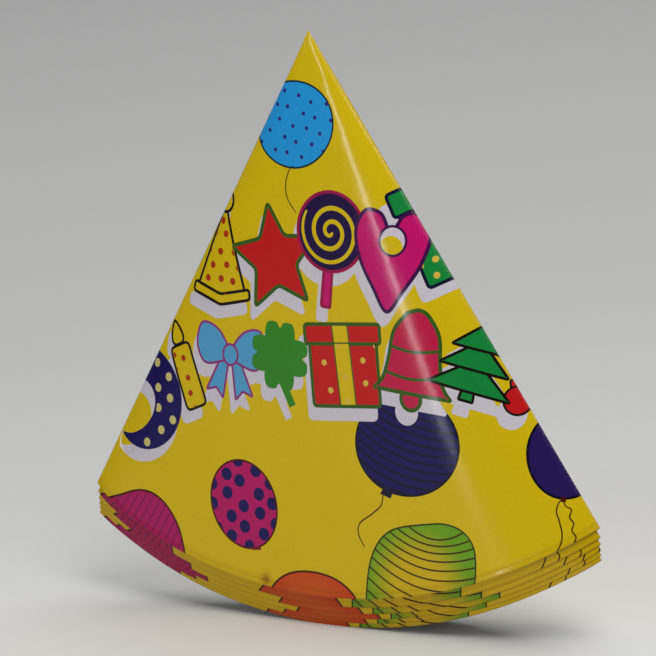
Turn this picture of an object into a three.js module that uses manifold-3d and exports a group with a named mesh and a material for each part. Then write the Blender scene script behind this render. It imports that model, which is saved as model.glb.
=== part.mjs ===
// A nest of six card party hats, pressed almost flat and stacked one inside the next.
//
// Each hat is one sector of thin card, rolled into a cone, glued along a narrow overlap and
// flattened, so that a fold runs from the tip to the rim on its left and on its right. The two
// panels between the folds stay bowed, and each has a soft ridge near its right fold. Every point
// of a rim is one slant length from its own tip, so the rims dip in the middle of each panel.
// Near each fold a U-shaped cut leaves a small tongue, which holds the end of a chin cord.
//
// Millimetres, +Z up, front panel towards -Y, the nest standing on the lowest rim at Z = 0.

import * as THREE from "three";
import { mergeVertices } from "three/addons/utils/BufferGeometryUtils.js";
import Module from "manifold-3d";

// The card
const SLANT = 180; // tip to rim
const CARD = 0.25; // thickness
const PANEL_ARC = 65.33; // degrees of the card's sector between the two folds
const CARD_YELLOW = 0xe8c60f;

// How a panel bends from its left fold to its right one, in degrees of its section's direction
const LEFT_FOLD_BEND = 18.9;
const RIGHT_FOLD_BEND = 15.1;
const FOLD_REACH = 0.03; // of the panel's width
const BOW_BEND = 12.3;
const RIDGE_BEND = 11.4;
const RIDGE_AT = 0.83; // of the panel's width
const RIDGE_REACH = 0.035;

// The nest, from the outer hat to the inner one
const DROPS = [0, 3.05, 5.25, 7.1, 8.7, 10.2]; // of each tip below the first
const FRONT_SWELLS = [1.65, 1.4, 1.1, 0.78, 0.42, 0.05];
const SEAM_ROOM = 0.27; // what each hat's back panel swells by to clear the next hat's overlap
const TIP_LENGTHS = [4, 3, 2, 1.5, 1, 0.7]; // over which the swelling grows from nothing
const SWELL_SQUARENESS = 8;

// The glued overlap, up the back panel
const SEAM_MIDDLES = [0.4, 0.422, 0.393, 0.368, 0.388, 0.413]; // of the panel's width
const SEAM_WIDTH = 0.052;
const SEAM_RAMP = 0.02;
const SEAM_EDGE = 0.0015;
const SEAM_FADE = 15; // from the tip, where the overlap is pressed flat

// The tongues that hold a chin cord
const TAB_RADIUS = 3.75;
const TAB_SIDE = 1; // straight part of the U
const TAB_FROM_FOLD = 5.5;
const TAB_HINGE = 157.5; // from the tip
const TAB_GAP = 0.3; // cut width
const TAB_COLUMNS = 10;
const CUT_OUTSIDE = 0.6;
const CUT_INSIDE = CARD + 0.25;

const MIDDLE_FACETS = 19; // an odd number, so that a flat one lies at the lowest point of a rim
const PANEL_FACETS = MIDDLE_FACETS + 2;
const FIRST_STOP = 0.01; // a narrow facet along each fold
const TABLE_STEPS = 400;
const OUTER_ROWS = [0.3, 0.8, 1.6, 3, 5]; // times the tip length
const INNER_ROWS = [1, 1.6]; // times the first radius with room for a hollow
const HOLLOW_FROM = 1.6 * CARD; // half thickness where the hollow starts
const HOLLOW_TIP = 0.7; // of that first radius
const FIRST_RADIUS = 0.5; // where the search for the hollow starts
const RADIUS_STEP = 0.05;
const SLOPE_STEP = 0.002; // of the panel's width, to each side of a point
const SLOPE_REACH = 0.01; // of its radius, above and below it
const HALVINGS = 50; // of a span, in a search
const WELD = 1e-4; // points closer than this are one

const FRONT = -1;
const BACK = 1;

const wasm = await Module();
wasm.setup();

function degrees(angle) {
  return THREE.MathUtils.degToRad(angle);
}

// Direction of the panel's section against the plane of the folds, t from 0 at the left fold to 1.
function sectionBend(t) {
  const ridge = 0.5 * (1 + Math.tanh((t - RIDGE_AT) / RIDGE_REACH));
  const leftFold = LEFT_FOLD_BEND * Math.exp(-t / FOLD_REACH);
  const rightFold = RIGHT_FOLD_BEND * Math.exp((t - 1) / FOLD_REACH);
  return degrees(leftFold - rightFold - BOW_BEND * t - RIDGE_BEND * ridge);
}

function bendAt(step) {
  return sectionBend((step + 0.5) / TABLE_STEPS);
}

// The turn that makes the section end in the plane of the folds, where it began.
function closingTurn() {
  let low = -1;
  let high = 1;
  for (let round = 0; round < HALVINGS; round++) {
    const turn = (low + high) / 2;
    let rise = 0;
    for (let step = 0; step < TABLE_STEPS; step++) rise += Math.sin(bendAt(step) + turn);
    if (rise > 0) high = turn;
    else low = turn;
  }
  return (low + high) / 2;
}

// The panel as directions from the tip: across is the angle from the middle in the plane of the
// folds, out the angle away from that plane. Equal steps of t are equal widths of card.
function panelTable() {
  const turn = closingTurn();
  const width = degrees(PANEL_ARC) / TABLE_STEPS;
  const across = [0];
  const out = [0];
  for (let step = 0; step < TABLE_STEPS; step++) {
    const bend = bendAt(step) + turn;
    const rise = Math.sin(bend) * width;
    const middle = out[step] + rise / 2;
    out.push(out[step] + rise);
    across.push(across[step] + (Math.cos(bend) * width) / Math.cos(middle));
  }
  const half = across[TABLE_STEPS] / 2;
  out[TABLE_STEPS] = 0;
  return { across: across.map((angle) => angle - half), out };
}

const PANEL = panelTable();

function fromTable(values, t) {
  const place = THREE.MathUtils.clamp(t, 0, 1) * TABLE_STEPS;
  const step = Math.min(Math.floor(place), TABLE_STEPS - 1);
  return THREE.MathUtils.lerp(values[step], values[step + 1], place - step);
}

// The share of the panel's width at which its rim hangs lowest.
function lowestShare() {
  const step = PANEL.across.findIndex((angle) => angle > 0);
  const [before, after] = [PANEL.across[step - 1], PANEL.across[step]];
  return (step - after / (after - before)) / TABLE_STEPS;
}

const LOWEST_SHARE = lowestShare();

// A point of a hat's outer face, measured from that hat's tip.
function facePoint(hat, side, t, radius) {
  const across = fromTable(PANEL.across, t);
  const out = fromTable(PANEL.out, t);
  const spread = 1 - Math.abs(2 * t - 1) ** SWELL_SQUARENESS;
  const growth = 1 - Math.exp(-radius / hat.tipLength);
  const swell = (side === FRONT ? hat.frontSwell : hat.backSwell) * spread * growth;
  return new THREE.Vector3(
    radius * Math.sin(across) * Math.cos(out),
    side * (radius * Math.sin(out) + swell),
    -radius * Math.cos(across) * Math.cos(out),
  );
}

function faceNormal(hat, side, t, radius) {
  const left = facePoint(hat, side, Math.max(t - SLOPE_STEP, 0), radius);
  const right = facePoint(hat, side, Math.min(t + SLOPE_STEP, 1), radius);
  const above = facePoint(hat, side, t, radius * (1 - SLOPE_REACH));
  const below = facePoint(hat, side, t, radius * (1 + SLOPE_REACH));
  const normal = right.sub(left).cross(below.sub(above));
  return normal.normalize().multiplyScalar(side);
}

// Card thickness measured along Y, which is more than CARD where the panel slants.
function depthOfCard(hat, side, t, radius) {
  return CARD / Math.abs(faceNormal(hat, side, t, radius).y);
}

function panelStops() {
  const stops = [0, FIRST_STOP];
  for (let i = 1; i < MIDDLE_FACETS; i++) {
    const even = i / MIDDLE_FACETS;
    const crowded = (1 - Math.cos(Math.PI * even)) / 2;
    const stop = (even + crowded) / 2;
    stops.push(stop + (LOWEST_SHARE - 0.5) * 4 * stop * (1 - stop));
  }
  return [...stops, 1 - FIRST_STOP, 1];
}

// How far the overlap lifts the outer face, as stops of [t, share of the card's thickness].
function seamStops(hat) {
  const start = hat.seamMiddle - SEAM_WIDTH / 2;
  const end = hat.seamMiddle + SEAM_WIDTH / 2;
  return [[start - SEAM_RAMP, 0], [start, 1], [end, 1], [end + SEAM_EDGE, 0]];
}

function outerRing(hat, radius) {
  const stops = panelStops();
  const ring = stops.map((t) => facePoint(hat, FRONT, t, radius));
  const seam = seamStops(hat);
  const [seamStart, seamEnd] = [seam[0][0], seam[seam.length - 1][0]];
  const plain = stops.filter((t) => t > 0 && t < 1 && (t < seamStart || t > seamEnd));
  const back = [...plain.map((t) => [t, 0]), ...seam].sort((a, b) => b[0] - a[0]);
  for (const [t, share] of back) {
    const lift = CARD * share * Math.min(1, radius / SEAM_FADE);
    const point = facePoint(hat, BACK, t, radius);
    ring.push(point.addScaledVector(faceNormal(hat, BACK, t, radius), lift));
  }
  return ring;
}

// Where the inner faces of the two panels meet, next to the fold at t = 0 or t = 1.
function innerFold(hat, side, fold, radius) {
  let tight = 0;
  let free = 0.5;
  for (let round = 0; round < HALVINGS; round++) {
    const inset = (tight + free) / 2;
    const t = Math.abs(fold - inset);
    const room = Math.abs(facePoint(hat, side, t, radius).y) - depthOfCard(hat, side, t, radius);
    if (room > 0) free = inset;
    else tight = inset;
  }
  return Math.abs(fold - free);
}

function innerPanel(hat, side, radius) {
  const left = innerFold(hat, side, 0, radius);
  const right = innerFold(hat, side, 1, radius);
  return panelStops().map((stop) => {
    const t = THREE.MathUtils.lerp(left, right, stop);
    const point = facePoint(hat, side, t, radius);
    point.y -= side * depthOfCard(hat, side, t, radius);
    return point;
  });
}

function innerRing(hat, radius) {
  const front = innerPanel(hat, FRONT, radius);
  const back = innerPanel(hat, BACK, radius).reverse();
  const last = PANEL_FACETS;
  for (const [frontEnd, backEnd] of [[0, last], [last, 0]]) {
    front[frontEnd].add(back[backEnd]).multiplyScalar(0.5);
    front[frontEnd].y = 0;
  }
  return [...front, ...back.slice(1, last)];
}

// The first radius at which the panels stand far enough apart to leave a hollow.
function hollowStart(hat) {
  let radius = FIRST_RADIUS;
  const halfThickness = () => Math.abs(facePoint(hat, FRONT, 0.5, radius).y);
  while (halfThickness() < HOLLOW_FROM) radius += RADIUS_STEP;
  return radius;
}

class Skin {
  constructor() {
    this.corners = [];
    this.facingIn = false;
  }

  triangle(a, b, c) {
    const corners = this.facingIn ? [a, c, b] : [a, b, c];
    for (const corner of corners) this.corners.push(corner.x, corner.y, corner.z);
  }

  // A band between two rings of points, whose counts may differ by the seam's stops.
  band(upper, lower) {
    let i = 0;
    let j = 0;
    while (i < upper.length || j < lower.length) {
      const up = upper[i % upper.length];
      const low = lower[j % lower.length];
      const upShare = (i + 1) / upper.length;
      const lowShare = (j + 1) / lower.length;
      if (j < lower.length && (i >= upper.length || lowShare <= upShare)) {
        this.triangle(up, low, lower[(j + 1) % lower.length]);
        j++;
      } else {
        this.triangle(up, low, upper[(i + 1) % upper.length]);
        i++;
      }
    }
  }

  fan(tip, ring) {
    ring.forEach((point, i) => this.triangle(tip, point, ring[(i + 1) % ring.length]));
  }

  geometry() {
    const geometry = new THREE.BufferGeometry();
    geometry.setAttribute("position", new THREE.Float32BufferAttribute(this.corners, 3));
    return mergeVertices(geometry, WELD);
  }
}

function solidOf(geometry) {
  const vertProperties = new Float32Array(geometry.attributes.position.array);
  const triVerts = new Uint32Array(geometry.index.array);
  return new wasm.Manifold(new wasm.Mesh({ numProp: 3, vertProperties, triVerts }));
}

function geometryOf(solid) {
  const mesh = solid.getMesh();
  const geometry = new THREE.BufferGeometry();
  geometry.setAttribute("position", new THREE.BufferAttribute(mesh.vertProperties, 3));
  geometry.setIndex(new THREE.BufferAttribute(mesh.triVerts, 1));
  return geometry;
}

function coneGeometry(hat) {
  const skin = new Skin();
  const outerRadii = [...OUTER_ROWS.map((row) => row * hat.tipLength), SLANT];
  const outerRings = outerRadii.map((radius) => outerRing(hat, radius));
  skin.fan(new THREE.Vector3(), outerRings[0]);
  outerRings.slice(1).forEach((ring, i) => skin.band(outerRings[i], ring));

  const start = hollowStart(hat);
  const tipRadii = INNER_ROWS.map((row) => row * start);
  const innerRadii = [...tipRadii, ...outerRadii.filter((radius) => radius > 2 * start)];
  const innerRings = innerRadii.map((radius) => innerRing(hat, radius));
  const hollowTip = new THREE.Vector3(0, 0, -HOLLOW_TIP * start);
  skin.facingIn = true;
  skin.fan(hollowTip, innerRings[0]);
  innerRings.slice(1).forEach((ring, i) => skin.band(innerRings[i], ring));
  skin.facingIn = false;
  skin.band(outerRings.at(-1), innerRings.at(-1));
  return skin.geometry();
}

// One side of a tongue or of the cut round it: its columns run from the hinge line to the U.
function tabColumns(hat, side, grow, lift) {
  const arc = degrees(PANEL_ARC);
  const fromLeft = side === FRONT;
  const columns = [];
  for (let i = 0; i <= TAB_COLUMNS; i++) {
    const angle = (Math.PI * i) / TAB_COLUMNS;
    const radius = TAB_RADIUS + grow;
    const sideways = TAB_FROM_FOLD - radius * Math.cos(angle);
    const share = sideways / (TAB_HINGE * arc);
    const t = fromLeft ? share : 1 - share;
    const ends = [TAB_HINGE - grow, TAB_HINGE + TAB_SIDE + radius * Math.sin(angle)];
    columns.push(ends.map((r) => {
      const point = facePoint(hat, side, t, r);
      return point.addScaledVector(faceNormal(hat, side, t, r), lift);
    }));
  }
  return columns;
}

// A closed slab between an outer and an inner set of columns.
function tabGeometry(hat, side, grow, outside, inside) {
  const outer = tabColumns(hat, side, grow, outside);
  const inner = tabColumns(hat, side, grow, -inside);
  const skin = new Skin();
  const quad = (a, b, c, d) => {
    skin.triangle(a, b, c);
    skin.triangle(a, c, d);
  };
  for (let i = 0; i < TAB_COLUMNS; i++) {
    const [outerHere, outerNext] = [outer[i], outer[i + 1]];
    const [innerHere, innerNext] = [inner[i], inner[i + 1]];
    quad(outerHere[0], outerHere[1], outerNext[1], outerNext[0]);
    quad(innerHere[0], innerNext[0], innerNext[1], innerHere[1]);
    quad(outerHere[0], outerNext[0], innerNext[0], innerHere[0]);
    quad(outerHere[1], innerHere[1], innerNext[1], outerNext[1]);
  }
  quad(outer[0][0], inner[0][0], inner[0][1], outer[0][1]);
  const end = TAB_COLUMNS;
  quad(outer[end][0], outer[end][1], inner[end][1], inner[end][0]);
  return skin.geometry();
}

function hatGeometry(hat) {
  let solid = solidOf(coneGeometry(hat));
  for (const side of [FRONT, BACK]) {
    const cut = solidOf(tabGeometry(hat, side, TAB_GAP, CUT_OUTSIDE, CUT_INSIDE));
    solid = solid.subtract(cut);
  }
  return geometryOf(solid);
}

function cardMaterial() {
  return new THREE.MeshStandardMaterial({ color: CARD_YELLOW, roughness: 0.25, metalness: 0 });
}

function namedMesh(name, geometry) {
  const mesh = new THREE.Mesh(geometry, cardMaterial());
  mesh.name = name;
  return mesh;
}

function makeHat(index) {
  const hat = {
    tipLength: TIP_LENGTHS[index],
    frontSwell: FRONT_SWELLS[index],
    backSwell: FRONT_SWELLS[index] + SEAM_ROOM * (DROPS.length - 1 - index),
    seamMiddle: SEAM_MIDDLES[index],
  };
  const name = `hat_${index + 1}`;
  const group = new THREE.Group();
  group.add(namedMesh(`${name}_card`, hatGeometry(hat)));
  group.add(namedMesh(`${name}_left_cord_tab`, tabGeometry(hat, FRONT, 0, 0, CARD)));
  group.add(namedMesh(`${name}_right_cord_tab`, tabGeometry(hat, BACK, 0, 0, CARD)));
  group.position.z = -DROPS[index];
  return group;
}

const nest = new THREE.Group();
for (let index = 0; index < DROPS.length; index++) nest.add(makeHat(index));

// The origin is in the middle of the nest, on the surface that it stands on.
nest.updateMatrixWorld(true);
const box = new THREE.Box3().setFromObject(nest, true);
const middle = box.getCenter(new THREE.Vector3());
nest.position.set(-middle.x, -middle.y, -box.min.z);

export default nest;
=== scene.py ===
"""A nest of six printed card party hats, standing on a pale floor.

Each hat is one sheet: a sector of card whose flat outline and print are triangulated together
and then bent onto the flattened cone. Flat places are in millimetres on the card, from the
hat's tip: x to the right of the front panel's middle line, y down it.
"""

import math

import bpy
import numpy as np
from mathutils import Matrix, Vector
from mathutils.geometry import delaunay_2d_cdt


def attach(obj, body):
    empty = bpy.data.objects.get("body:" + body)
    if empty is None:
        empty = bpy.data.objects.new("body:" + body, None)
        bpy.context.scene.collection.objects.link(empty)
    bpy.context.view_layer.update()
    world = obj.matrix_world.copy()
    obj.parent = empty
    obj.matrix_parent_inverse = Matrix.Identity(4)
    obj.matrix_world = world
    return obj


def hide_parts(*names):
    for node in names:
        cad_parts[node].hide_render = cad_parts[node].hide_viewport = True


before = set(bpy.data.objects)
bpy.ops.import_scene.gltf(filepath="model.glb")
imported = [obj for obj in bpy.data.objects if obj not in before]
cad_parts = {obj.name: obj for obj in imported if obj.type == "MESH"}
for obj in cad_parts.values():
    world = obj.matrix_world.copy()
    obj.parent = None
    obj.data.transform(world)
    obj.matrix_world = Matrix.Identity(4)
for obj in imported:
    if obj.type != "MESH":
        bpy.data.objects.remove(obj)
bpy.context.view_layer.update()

MM = 0.001

# The card, as the CAD model has it
SLANT = 180.0
CARD = 0.25
PANEL_ARC = 65.33
HALF_ARC = PANEL_ARC / 2
LEFT_FOLD_BEND = 18.9
RIGHT_FOLD_BEND = 15.1
FOLD_REACH = 0.03
BOW_BEND = 12.3
RIDGE_BEND = 11.4
RIDGE_AT = 0.83
RIDGE_REACH = 0.035
FRONT_SWELLS = [1.65, 1.4, 1.1, 0.78, 0.42, 0.05]
SEAM_ROOM = 0.27
TIP_LENGTHS = [4, 3, 2, 1.5, 1, 0.7]
DROPS = [0, 3.05, 5.25, 7.1, 8.7, 10.2]
SWELL_SQUARENESS = 8
SEAM_MIDDLES = [0.4, 0.422, 0.393, 0.368, 0.388, 0.413]
SEAM_WIDTH = 0.052
SEAM_RAMP = 0.02
SEAM_FADE = 15.0
TAB_RADIUS = 3.75
TAB_SIDE = 1.0
TAB_FROM_FOLD = 5.5
TAB_HINGE = 157.5
TABLE_STEPS = 400

# What the card has beyond the CAD model, and how finely it is drawn
GLUE = 0.02
TIP_HOLE = 0.4
TIP_SPREAD = 26.0
FOLD_ROUND = 0.35
FOLD_ROUND_FADE = 10.0
SLIT = 0.15
SLIT_LIP = 0.35
TAB_PUSH = 0.2
TAB_PUSH_CURVE = 1.5
WAVES_FROM_TIP = 60.0
RIM_CURL_FROM = 168.0
RIM_CURLS = [0, 0.0066, 0.0082, 0.0098, 0.0112, 0.0126]
GROOVE_ABOVE_RIM = 1.7
GROOVE_WIDTH = 0.7
GROOVE_DEPTH = 0.08
DENT_PLACE = (-23.3, 176.4)
DENT_WIDTH = 1.8
DENT_DEPTH = 0.2
GRID = 3.2
ARC_STEP = 0.45
TINY = 1e-3
NORMAL_TURN = 0.03
NORMAL_REACH = 0.002
FOLD_GUIDES = (0, 0.12, 0.25, 0.4, 0.6, 1.2, 2.4)
RIM_GUIDES = (0.3, 0.9, 1.3, 1.7, 2.1, 2.6, 3.4)
DENT_GUIDES = (0.5, 1.0, 1.5, 2.0, 2.7, 3.6)
# Each wave of handled card: height, length across, length down and start
WAVES = [(0.12, 13, 31, 0.6), (0.084, -23, 17, 2.1), (0.06, 7.3, -11, 0)]

# How the print lies on the card
SEAM_MISMATCH = 0.4
PRINT_DRIFTS = [0, -0.6, -0.1, 0.35, -0.15, -0.85]
PRINT_LIGHTNESS = 0.73
FOLD_CLEARANCE = 6.0
SHADOW_SHIFT = (-1.7, 4.2)
DOT_ROW = 0.86
DOT_WOBBLE = 0.09
ORANGE_CENTRE = (-6, 184)
ORANGE_REACH = (22, 15)
LIME_CENTRE = (36, 173)
LIME_REACH = 19.5
LIME_MIDDLE_END = 0.36
LIME_RAMP = 0.7
LIME_STRIPES = 11
LIME_LOW = 43.0

# Painted shade in the dent, along the groove, at the rim and on the inner hats' strips, then wear: shares
# of the ink or the card, and the millimetres over which they fade
DENT_SHADE = 0.6
GROOVE_SHADE = 0.15
RIM_SHADE = 0.4
RIM_SHADE_FADE = 0.35
STRIP_SHADE = 0.12
STRIP_FROM = 175.0
STRIP_RAMP = 1.5
PAINTED_SHADE_TINT = (0.75, 1.05, 1.7)
# Wear of the card at the folds and at the rim
FOLD_WEAR_FADE = 0.35
RIM_WEAR = 0.12
RIM_WEAR_FADE = 0.25

# Materials
SHEET_STEP = 37.0
NOISE_RANGE = (0.3, 0.7)
FIBRE_RANGE = (0.35, 0.65)
RUB_RANGE = (0.48, 0.66)
RUB_MOST = 0.4
RUB_ROUGHNESS = 0.4
INK_MOTTLE = 0.025
VARNISH_ROUGHNESS = (0.14, 0.2)
VARNISH_IOR = 1.32
WARP_SHARE = 6.0
RUBBED_BOARD = (0.86, 0.82, 0.72, 1)
BARE_DARK = (0.56, 0.54, 0.49, 1)
BARE_LIGHT = (0.66, 0.64, 0.59, 1)
BARE_CLOUDS = (0.95, 1.03)
CUT_DARK = (0.80, 0.74, 0.58, 1)
CUT_LIGHT = (0.93, 0.89, 0.78, 1)

# Floor and light. Each soft box: azimuth (0 in front, positive to the right) and elevation,
# then its distance, width and height in metres, its watts and its colour
FLOOR_HALF = 6.0
FLOOR_SHADE = (0.86, 0.86, 0.84, 1)
WORLD_SHADE = (0.93, 0.96, 1.0, 1)
WORLD_STRENGTH = 0.12
WHITE = (1.0, 1.0, 1.0)
LIT_PLACE = (0, 0, 0.1)
SOFT_BOXES = {
    "top": (180, 72, 2.5, 3.0, 3.0, 35.0, WHITE),
    "key": (52, 50, 0.6, 0.25, 0.4, 1.7, (1.0, 0.98, 0.95)),
    "ridge_strip": (-19.6, 8.4, 1.25, 0.125, 0.54, 3.1, WHITE),
}

# The camera, which sees the nest from a little to its right and above, as the photo does
CAMERA_AZIMUTH = math.radians(34.39)
CAMERA_ELEVATION = math.radians(11.30)
CAMERA_ROLL = math.radians(-3.79)
CAMERA_DISTANCE = 8 * SLANT * MM
TIP_ACROSS = -0.0342 * SLANT * MM
TIP_UP = 0.5168 * SLANT * MM
LENS_OVER_SENSOR = 7.044
SENSOR = 36.0

FRONT = -1.0
BACK = 1.0
HATS = len(SEAM_MIDDLES)


# ---- the bent card

def section_bend(t):
    """Direction of the panel's section against the fold plane, t from 0 at the left fold to 1."""
    ridge = 0.5 * (1 + np.tanh((t - RIDGE_AT) / RIDGE_REACH))
    left_fold = LEFT_FOLD_BEND * np.exp(-t / FOLD_REACH)
    right_fold = RIGHT_FOLD_BEND * np.exp((t - 1) / FOLD_REACH)
    return np.radians(left_fold - right_fold - BOW_BEND * t - RIDGE_BEND * ridge)


def closing_turn(bend):
    """The turn that makes the section end in the plane of the folds, where it began."""
    low, high = -1.0, 1.0
    for _ in range(50):
        turn = (low + high) / 2
        if np.sin(bend + turn).sum() > 0:
            high = turn
        else:
            low = turn
    return (low + high) / 2


def panel_table():
    """Directions from the tip over one panel: the angle across it and the one out of the fold plane."""
    bend = section_bend((np.arange(TABLE_STEPS) + 0.5) / TABLE_STEPS)
    bend = bend + closing_turn(bend)
    width = math.radians(PANEL_ARC) / TABLE_STEPS
    rise = np.sin(bend) * width
    out = np.concatenate([[0], np.cumsum(rise)])
    across = np.concatenate([[0], np.cumsum(np.cos(bend) * width / np.cos(out[:-1] + rise / 2))])
    out[-1] = 0
    return across - across[-1] / 2, out, bend[0], -bend[-1]


ACROSS, OUT, LEFT_SLOPE, RIGHT_SLOPE = panel_table()
TABLE_T = np.linspace(0, 1, TABLE_STEPS + 1)


def smooth(value):
    value = np.clip(value, 0, 1)
    return value * value * (3 - 2 * value)


def panel_place(theta):
    """Side and share of the panel's width for a direction on the flat card, in degrees from its middle."""
    side = np.where(np.abs(theta) <= HALF_ARC, FRONT, BACK)
    left = (-HALF_ARC - theta) / PANEL_ARC
    right = 1 - (theta - HALF_ARC) / PANEL_ARC
    front = (theta + HALF_ARC) / PANEL_ARC
    t = np.where(side == FRONT, front, np.where(theta < 0, left, right))
    return side, np.clip(t, 0, 1)


def fold_rounding(side, t, radius):
    """How far a point next to a fold lies from the sharp fold's faces, once the fold is rounded."""
    shift = np.zeros((len(t), 3))
    arc = math.radians(PANEL_ARC)
    rounding = FOLD_ROUND * np.minimum(1, radius / FOLD_ROUND_FADE)
    for fold, angle, slope in ((0, ACROSS[0], LEFT_SLOPE), (1, ACROSS[-1], RIGHT_SLOPE)):
        reach = rounding / math.tan(slope)
        along = np.abs(t - fold) * arc * radius
        turn = np.clip(along / reach, 0, 1) * (math.pi / 2 - slope)
        near = along < reach
        inward = np.array([math.cos(angle), 0, math.sin(angle)]) * (1 if fold == 0 else -1)
        depth = rounding / math.sin(slope) - rounding * np.cos(turn) - along * math.cos(slope)
        rise = rounding * np.sin(turn) - along * math.sin(slope)
        shift += (near * depth)[:, None] * inward
        shift[:, 1] += near * rise * side
    return shift


def wave(theta, radius):
    """Gentle waves of handled card, the same through the whole nest."""
    x = radius * np.sin(np.radians(theta))
    y = radius * np.cos(np.radians(theta))
    height = sum(high * np.sin(x / across + y / down + start) for high, across, down, start in WAVES)
    return height * smooth(radius / WAVES_FROM_TIP)


def near_dent(hat, flat):
    """1 at the middle of the small dent in the outermost hat, 0 away from it. It shapes the dent and the
    painted shade in it.
    """
    if hat["index"] > 0:
        return np.zeros(len(flat))
    return np.exp(-np.sum((flat - DENT_PLACE) ** 2, axis=1) / DENT_WIDTH ** 2)


def in_groove(radius):
    """1 in the groove that stacking pressed in above the rim, 0 away from it. It shapes the groove and the
    painted shade along it.
    """
    return np.exp(-((SLANT - GROOVE_ABOVE_RIM - radius) / GROOVE_WIDTH) ** 2)


def pressed(hat, theta, radius):
    return GROOVE_DEPTH * in_groove(radius) + DENT_DEPTH * near_dent(hat, polar(theta, radius))


def face_point(hat, theta, radius):
    """A point of the hat's outer face without its overlap, from its tip, with Y out of the fold plane."""
    side, t = panel_place(theta)
    across = np.interp(t, TABLE_T, ACROSS)
    out = np.interp(t, TABLE_T, OUT)
    spread = 1 - np.abs(2 * t - 1) ** SWELL_SQUARENESS
    growth = (1 - np.exp(-radius / hat["tip_length"])) * (1 - np.exp(-(radius + hat["drop"]) / TIP_SPREAD))
    swell = np.where(side == FRONT, hat["front_swell"], hat["back_swell"]) * spread * growth
    curl = RIM_CURLS[hat["index"]] * np.maximum(radius - RIM_CURL_FROM, 0) ** 2 * spread
    loose = (wave(theta, radius) - pressed(hat, theta, radius)) * spread - curl
    x = radius * np.sin(across) * np.cos(out)
    y = side * (radius * np.sin(out) + swell + loose)
    z = -radius * np.cos(across) * np.cos(out)
    return np.column_stack([x, y, z]) + fold_rounding(side, t, radius)


def face_normal(hat, theta, radius):
    turn = np.degrees(NORMAL_TURN / radius)
    reach = NORMAL_REACH * radius
    along = face_point(hat, theta + turn, radius) - face_point(hat, theta - turn, radius)
    down = face_point(hat, theta, radius + reach) - face_point(hat, theta, radius - reach)
    normal = np.cross(down, along)
    return normal / np.linalg.norm(normal, axis=1)[:, None]


def overlap_lift(hat, theta, radius):
    """The end of the sheet that comes round from the left fold lies over the other end."""
    share = (-HALF_ARC - theta) / PANEL_ARC
    start = hat["seam"] - SEAM_WIDTH / 2 - SEAM_RAMP
    return (CARD + GLUE) * smooth((share - start) / SEAM_RAMP) * np.minimum(1, radius / SEAM_FADE)


def tab_push(radius, pushed):
    """A tongue's lower end stands a little inside its slit."""
    if not pushed:
        return 0
    return TAB_PUSH * np.clip((radius - TAB_HINGE) / (TAB_SIDE + TAB_RADIUS), 0, 1) ** TAB_PUSH_CURVE


def from_tip(flat):
    """The direction of flat places, in degrees, and how far they are from the tip."""
    theta = np.degrees(np.arctan2(flat[:, 0], flat[:, 1]))
    return theta, np.maximum(np.hypot(flat[:, 0], flat[:, 1]), TINY)


def bent(hat, flat, depth, pushed):
    """Flat places, carried onto the hat at a depth under its outer face, in metres in the frame."""
    theta, radius = from_tip(flat)
    point = face_point(hat, theta, radius)
    normal = face_normal(hat, theta, radius)
    lift = overlap_lift(hat, theta, radius) - depth - tab_push(radius, pushed)
    point = point + normal * lift[:, None]
    side, _ = panel_place(theta)
    point[:, 1] = side * np.maximum(point[:, 1] * side, TINY)
    return point * MM + np.array(hat["tip"])


# ---- flat shapes

def polar(theta, radius):
    theta = np.radians(theta)
    return np.column_stack([radius * np.sin(theta), radius * np.cos(theta)])


def turned(shape, turn):
    """The shape turned clockwise about the flat origin, as it is seen."""
    c = math.cos(math.radians(turn))
    s = math.sin(math.radians(turn))
    return np.column_stack([shape[:, 0] * c - shape[:, 1] * s, shape[:, 0] * s + shape[:, 1] * c])


def placed(shape, x, y, turn=0.0, size=1.0):
    return turned(np.asarray(shape, float) * size, turn) + [x, y]


def signed_area(outline):
    after = np.roll(outline, -1, axis=0)
    return np.sum(outline[:, 0] * after[:, 1] - outline[:, 1] * after[:, 0]) / 2


def grown(shape, by):
    """The closed shape with its outline moved outwards."""
    before = shape - np.roll(shape, 1, axis=0)
    after = np.roll(shape, -1, axis=0) - shape
    sign = 1 if signed_area(shape) > 0 else -1
    normals = []
    for edge in (before, after):
        length = np.maximum(np.linalg.norm(edge, axis=1), TINY)
        normals.append(np.column_stack([edge[:, 1], -edge[:, 0]]) / length[:, None] * sign)
    middle = normals[0] + normals[1]
    length = np.maximum(np.linalg.norm(middle, axis=1), 0.35)
    middle = middle / length[:, None]
    cosine = np.maximum(np.sum(middle * normals[0], axis=1), 0.5)
    return shape + middle * (by / cosine)[:, None]


def ellipse(rx, ry, steps=44):
    angle = np.linspace(0, 2 * math.pi, steps, endpoint=False)
    return np.column_stack([rx * np.cos(angle), ry * np.sin(angle)])


def curve(points, closed, steps=7):
    """A smooth curve through given points."""
    points = np.asarray(points, float)
    count = len(points)
    result = []
    for i in range(count if closed else count - 1):
        if closed:
            a, b, c, d = (points[(i + k) % count] for k in (-1, 0, 1, 2))
        else:
            a, b, c, d = (points[min(max(i + k, 0), count - 1)] for k in (-1, 0, 1, 2))
        for step in range(steps):
            u = step / steps
            result.append(0.5 * (2 * b + (c - a) * u + (2 * a - 5 * b + 4 * c - d) * u ** 2
                                 + (3 * b - a - 3 * c + d) * u ** 3))
    if not closed:
        result.append(points[-1])
    return np.array(result)


def stroke(line, width, thin=0.6):
    """A line drawn with a pen: full width in the middle, thinner at its ends."""
    line = np.asarray(line, float)
    tangent = np.gradient(line, axis=0)
    tangent /= np.linalg.norm(tangent, axis=1)[:, None]
    share = np.linspace(0, 1, len(line))
    half = width / 2 * (thin + (1 - thin) * np.sin(math.pi * share) ** 0.4)
    across = np.column_stack([-tangent[:, 1], tangent[:, 0]]) * half[:, None]
    return np.concatenate([line + across, (line - across)[::-1]])


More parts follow.
